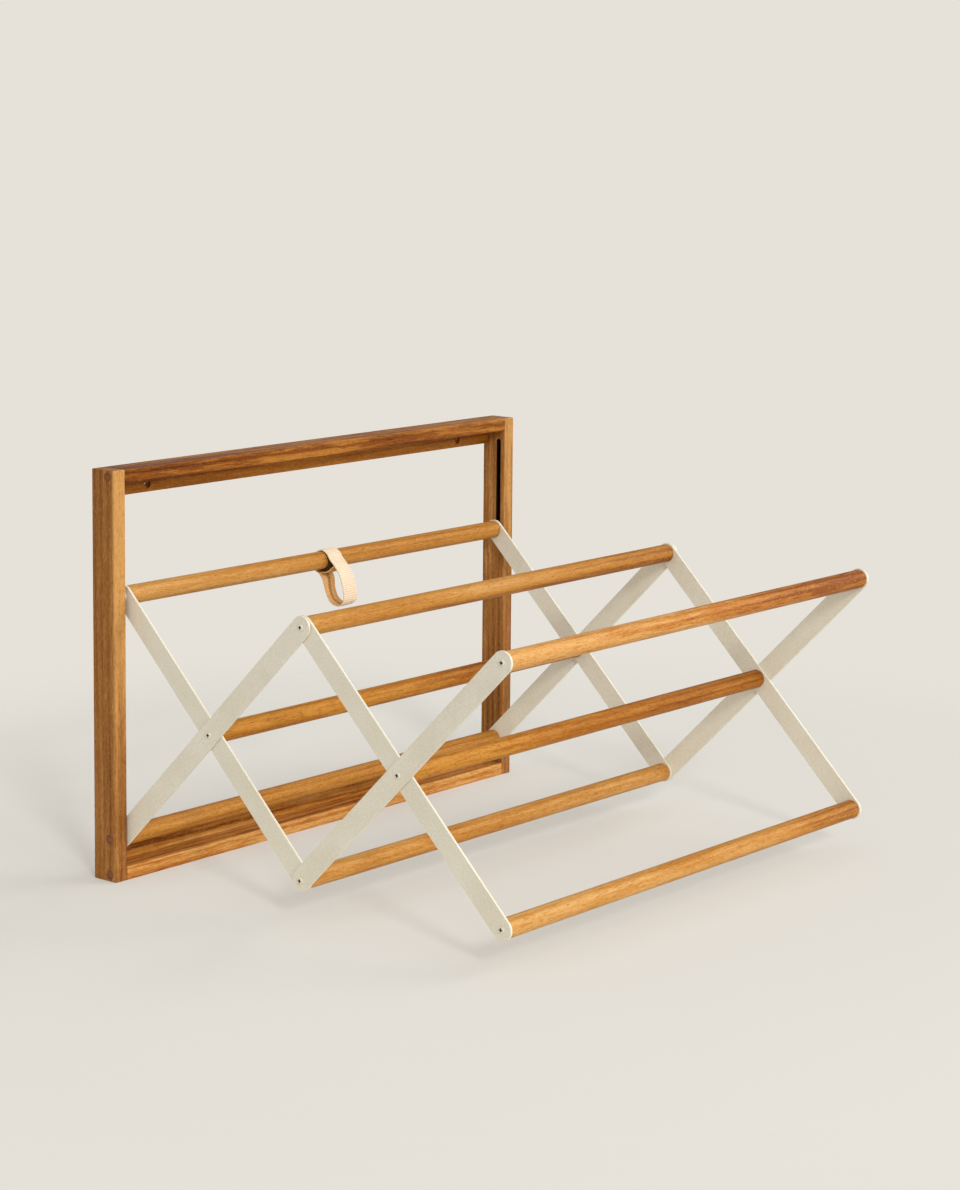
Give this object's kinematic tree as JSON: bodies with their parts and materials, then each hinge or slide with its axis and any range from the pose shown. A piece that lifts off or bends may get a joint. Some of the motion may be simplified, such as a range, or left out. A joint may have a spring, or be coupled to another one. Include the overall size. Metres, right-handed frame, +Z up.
{
  "type": "fold-down drying rack",
  "caption": "Wall-mounted drying rack: a wooden frame with a scissor linkage of flat steel arms carrying round wooden rods, and a webbing strap loop.",
  "frame": {"origin": "midway between the two wall-screw holes, on the wall plane", "axes": "+X along the rods, +Y towards the wall, +Z up"},
  "size_m": [0.6, 0.5029, 0.4],
  "materials": {
    "frame_wood": "oiled, satin",
    "rod_wood": "oiled, satin",
    "plug_wood": "oiled end grain",
    "arm_coating": "matte powder coat",
    "screw_coating": "matte powder coat on the head",
    "screw_steel": "satin",
    "nylon": "matte",
    "webbing": "ribbed cotton webbing"
  },
  "bodies": {
    "frame": {"left_stile": "frame_wood", "right_stile": "frame_wood", "top_rail": "frame_wood", "bottom_rail": "frame_wood", "top_cleat": "frame_wood", "bottom_cleat": "frame_wood", "rail_screws": "screw_steel", "fixed_pivot_screws": "screw_steel", "rail_plugs": "plug_wood", "fixed_pivot_plugs": "plug_wood", "fixed_pivot_washers": "nylon", "rear_bottom_rod": "rod_wood"},
    "rear_outer_arms": {"rear_outer_arm_left": "arm_coating", "rear_outer_arm_right": "arm_coating", "rear_crossing_rod": "rod_wood", "middle_top_rod": "rod_wood", "rear_arm_screws": "screw_coating", "rear_arm_washers": "nylon"},
    "rear_inner_arms": {"rear_inner_arm_left": "arm_coating", "rear_inner_arm_right": "arm_coating", "rear_top_rod": "rod_wood", "slider_pins": "screw_steel", "slider_bushes": "nylon", "strap_loop": "webbing"},
    "front_inner_arms": {"front_inner_arm_left": "arm_coating", "front_inner_arm_right": "arm_coating", "front_bottom_rod": "rod_wood", "front_bottom_screws": "screw_coating"},
    "front_outer_arms": {"front_outer_arm_left": "arm_coating", "front_outer_arm_right": "arm_coating", "middle_bottom_rod": "rod_wood", "front_crossing_rod": "rod_wood", "front_top_rod": "rod_wood", "front_arm_screws": "screw_coating", "front_top_screws": "screw_coating", "front_arm_washers": "nylon"}
  },
  "joints": [
    {"name": "fold", "type": "hinge", "parent": "frame", "child": "rear_outer_arms", "pos_m": [0, -0.0215, -0.33725], "axis": [-1, 0, 0], "range_deg": [0, 41.2]},
    {"name": "rear_scissor", "type": "hinge", "parent": "rear_outer_arms", "child": "rear_inner_arms", "pos_m": [0, -0.13923, -0.21952], "axis": [1, 0, 0], "range_deg": [0, 82.4]},
    {"name": "middle_link", "type": "hinge", "parent": "rear_outer_arms", "child": "front_inner_arms", "pos_m": [0, -0.25697, -0.10178], "axis": [1, 0, 0], "range_deg": [0, 82.4]},
    {"name": "front_scissor", "type": "hinge", "parent": "front_inner_arms", "child": "front_outer_arms", "pos_m": [0, -0.3747, -0.21952], "axis": [-1, 0, 0], "range_deg": [0, 82.4]}
  ],
  "couplings": [
    {"joint": "rear_scissor", "follows": "fold", "ratio": 2},
    {"joint": "middle_link", "follows": "fold", "ratio": 2},
    {"joint": "front_scissor", "follows": "fold", "ratio": 2}
  ]
}
